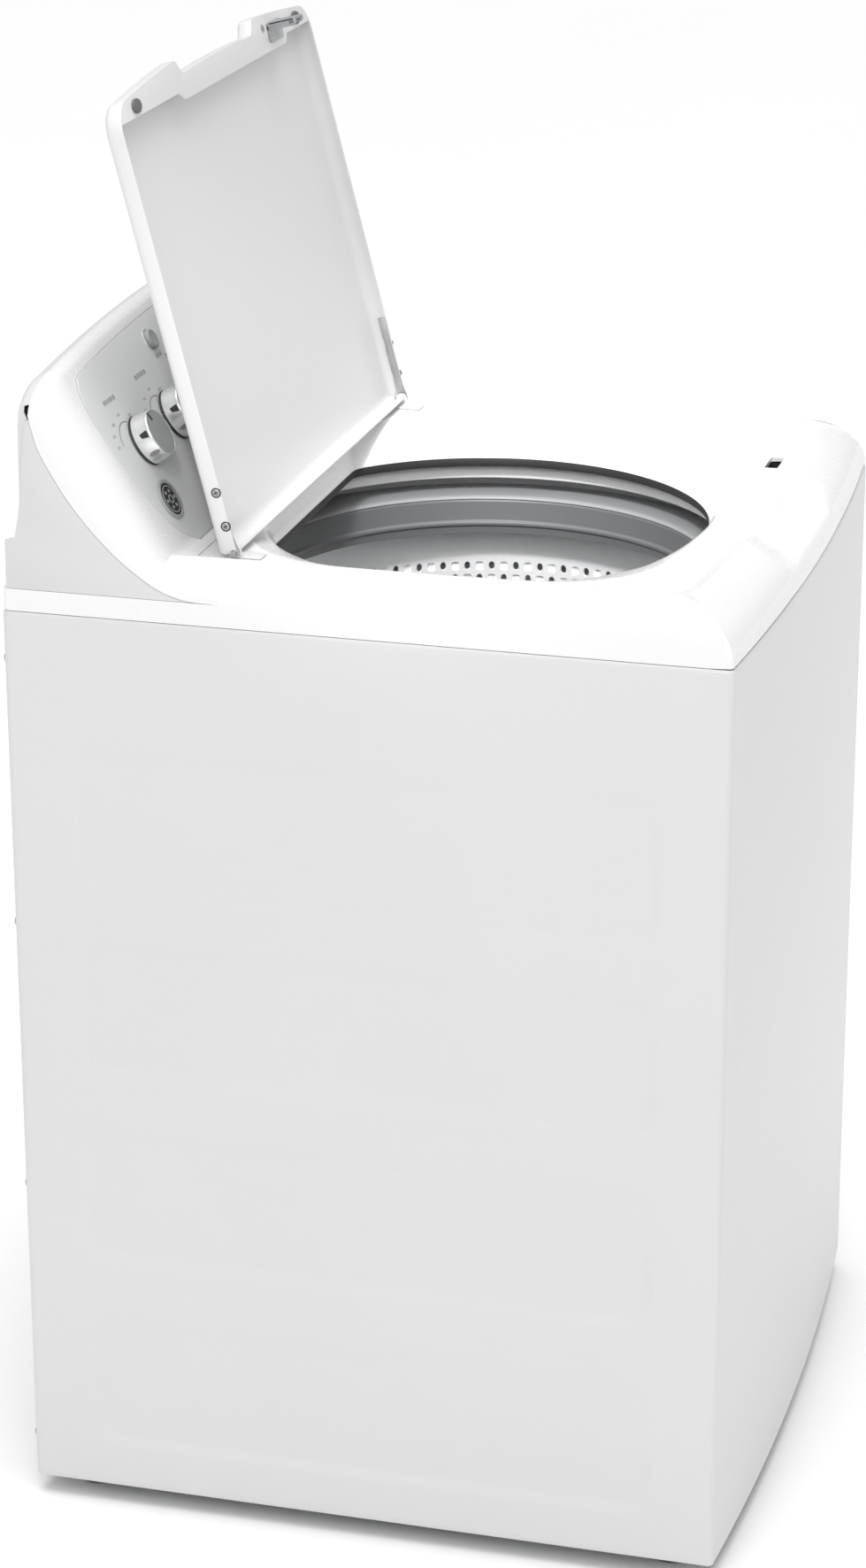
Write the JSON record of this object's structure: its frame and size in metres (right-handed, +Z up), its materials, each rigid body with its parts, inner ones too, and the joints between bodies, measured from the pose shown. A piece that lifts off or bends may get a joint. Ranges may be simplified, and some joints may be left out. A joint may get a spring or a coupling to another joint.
{
  "type": "top load washing machine",
  "caption": "Free-standing top load washing machine with a bowed front, a hinged lid standing open over a D-shaped tub opening, an agitator basket and a rear control console with knobs.",
  "frame": {"origin": "on the floor, under the middle of the machine (bottom centre of the bounding box)", "axes": "+Z up, -Y towards the front where the user stands, +X to the right seen from the front"},
  "size_m": [0.686, 0.702, 1.3732],
  "materials": {
    "cabinet_paint": "satin white enamel",
    "gloss_white": "gloss white",
    "lid_paint": "satin white enamel",
    "cap_grey": "fine-grained, satin",
    "panel_silver": "silver lacquer, satin",
    "chrome_trim": "bright plated",
    "stainless": "bright, perforated",
    "zinc_steel": "zinc plated",
    "cast_aluminium": "as cast",
    "grey_plastic": "moulded, satin",
    "light_plastic": "moulded, satin",
    "dark_plastic": "moulded, matte",
    "rubber": "matte"
  },
  "bodies": {
    "cabinet": {"cabinet_shell": "cabinet_paint", "top_cover": "gloss_white", "console_bezel": "gloss_white", "console_end_cap_left": "cap_grey", "console_end_cap_right": "cap_grey", "control_panel": "panel_silver", "console_badge": "chrome_trim", "rear_panel": "zinc_steel", "base_frame": "zinc_steel", "console_back_cover": "zinc_steel", "hinge_bracket_left": "zinc_steel", "hinge_bracket_right": "zinc_steel", "suspension_rod_front_left": "zinc_steel", "suspension_rod_front_right": "zinc_steel", "suspension_rod_rear_left": "zinc_steel", "suspension_rod_rear_right": "zinc_steel", "suspension_spring_front_left": "zinc_steel", "suspension_spring_front_right": "zinc_steel", "suspension_spring_rear_left": "zinc_steel", "suspension_spring_rear_right": "zinc_steel", "inlet_valve": "light_plastic", "levelling_foot_front_left": "dark_plastic", "levelling_foot_front_right": "dark_plastic", "levelling_foot_rear_left": "dark_plastic", "levelling_foot_rear_right": "dark_plastic", "lid_lock": "dark_plastic", "soil_switch": "dark_plastic", "temperature_switch": "dark_plastic", "load_switch": "dark_plastic", "cycle_switch": "dark_plastic", "control_board": "dark_plastic", "drain_spout": "dark_plastic", "cord_gland": "dark_plastic"},
    "tub": {"outer_tub": "light_plastic", "tub_ring": "gloss_white", "gearcase": "cast_aluminium", "motor": "zinc_steel", "drain_pump": "dark_plastic", "drive_belt": "rubber"},
    "basket": {"wash_basket": "stainless", "balance_ring": "grey_plastic", "spin_tube": "cast_aluminium"},
    "agitator": {"agitator": "grey_plastic", "agitator_cap": "light_plastic", "agitator_shaft": "zinc_steel", "drive_pulley": "cast_aluminium"},
    "motor_pulley": {"motor_pulley": "cast_aluminium"},
    "lid": {"lid_panel": "lid_paint", "hinge_arm_left": "zinc_steel", "hinge_arm_right": "zinc_steel", "lid_bumper_left": "rubber", "lid_bumper_right": "rubber", "lid_strike": "chrome_trim"},
    "soil_knob": {"soil_knob": "chrome_trim"},
    "temperature_knob": {"temperature_knob": "chrome_trim"},
    "load_knob": {"load_knob": "chrome_trim"},
    "cycle_knob": {"cycle_knob": "chrome_trim"},
    "option_button": {"option_button": "light_plastic"},
    "start_button": {"start_button": "light_plastic"}
  },
  "joints": [
    {"name": "lid_hinge", "type": "hinge", "parent": "cabinet", "child": "lid", "pos_m": [0, 0.1345, 0.9615], "axis": [1, 0, 0], "range_deg": [0, 104.5]},
    {"name": "tub_bounce", "type": "slide", "parent": "cabinet", "child": "tub", "axis": [0, 0, -1], "range_m": [0, 0.02], "stiffness_N_per_m": 9000, "springref_m": -0.062, "deforming": ["suspension_spring_front_left", "suspension_spring_front_right", "suspension_spring_rear_left", "suspension_spring_rear_right"]},
    {"name": "basket_spin", "type": "hinge", "parent": "tub", "child": "basket", "pos_m": [0, -0.025, 0.6], "axis": [0, 0, 1], "continuous": true},
    {"name": "agitator_turn", "type": "hinge", "parent": "tub", "child": "agitator", "pos_m": [0, -0.025, 0.6], "axis": [0, 0, 1], "continuous": true},
    {"name": "motor_pulley_turn", "type": "hinge", "parent": "tub", "child": "motor_pulley", "pos_m": [0, 0.15, 0.128], "axis": [0, 0, 1], "continuous": true},
    {"name": "soil_knob_turn", "type": "hinge", "parent": "cabinet", "child": "soil_knob", "pos_m": [-0.226, 0.23843, 1.04323], "axis": [0, -0.858, 0.5137], "range_deg": [-60, 60]},
    {"name": "temperature_knob_turn", "type": "hinge", "parent": "cabinet", "child": "temperature_knob", "pos_m": [-0.137, 0.23945, 1.04494], "axis": [0, -0.858, 0.5137], "range_deg": [-60, 60]},
    {"name": "load_knob_turn", "type": "hinge", "parent": "cabinet", "child": "load_knob", "pos_m": [-0.048, 0.23945, 1.04494], "axis": [0, -0.858, 0.5137], "range_deg": [-60, 60]},
    {"name": "cycle_knob_turn", "type": "hinge", "parent": "cabinet", "child": "cycle_knob", "pos_m": [0.15, 0.23843, 1.04323], "axis": [0, -0.858, 0.5137], "continuous": true},
    {"name": "option_button_press", "type": "slide", "parent": "cabinet", "child": "option_button", "axis": [0, 0.858, -0.5137], "range_m": [0, 0.0025], "stiffness_N_per_m": 400, "springref_m": -0.001},
    {"name": "start_button_press", "type": "slide", "parent": "cabinet", "child": "start_button", "axis": [0, 0.858, -0.5137], "range_m": [0, 0.0025], "stiffness_N_per_m": 400, "springref_m": -0.001}
  ],
  "couplings": [
    {"joint": "motor_pulley_turn", "follows": "agitator_turn", "ratio": 4}
  ]
}
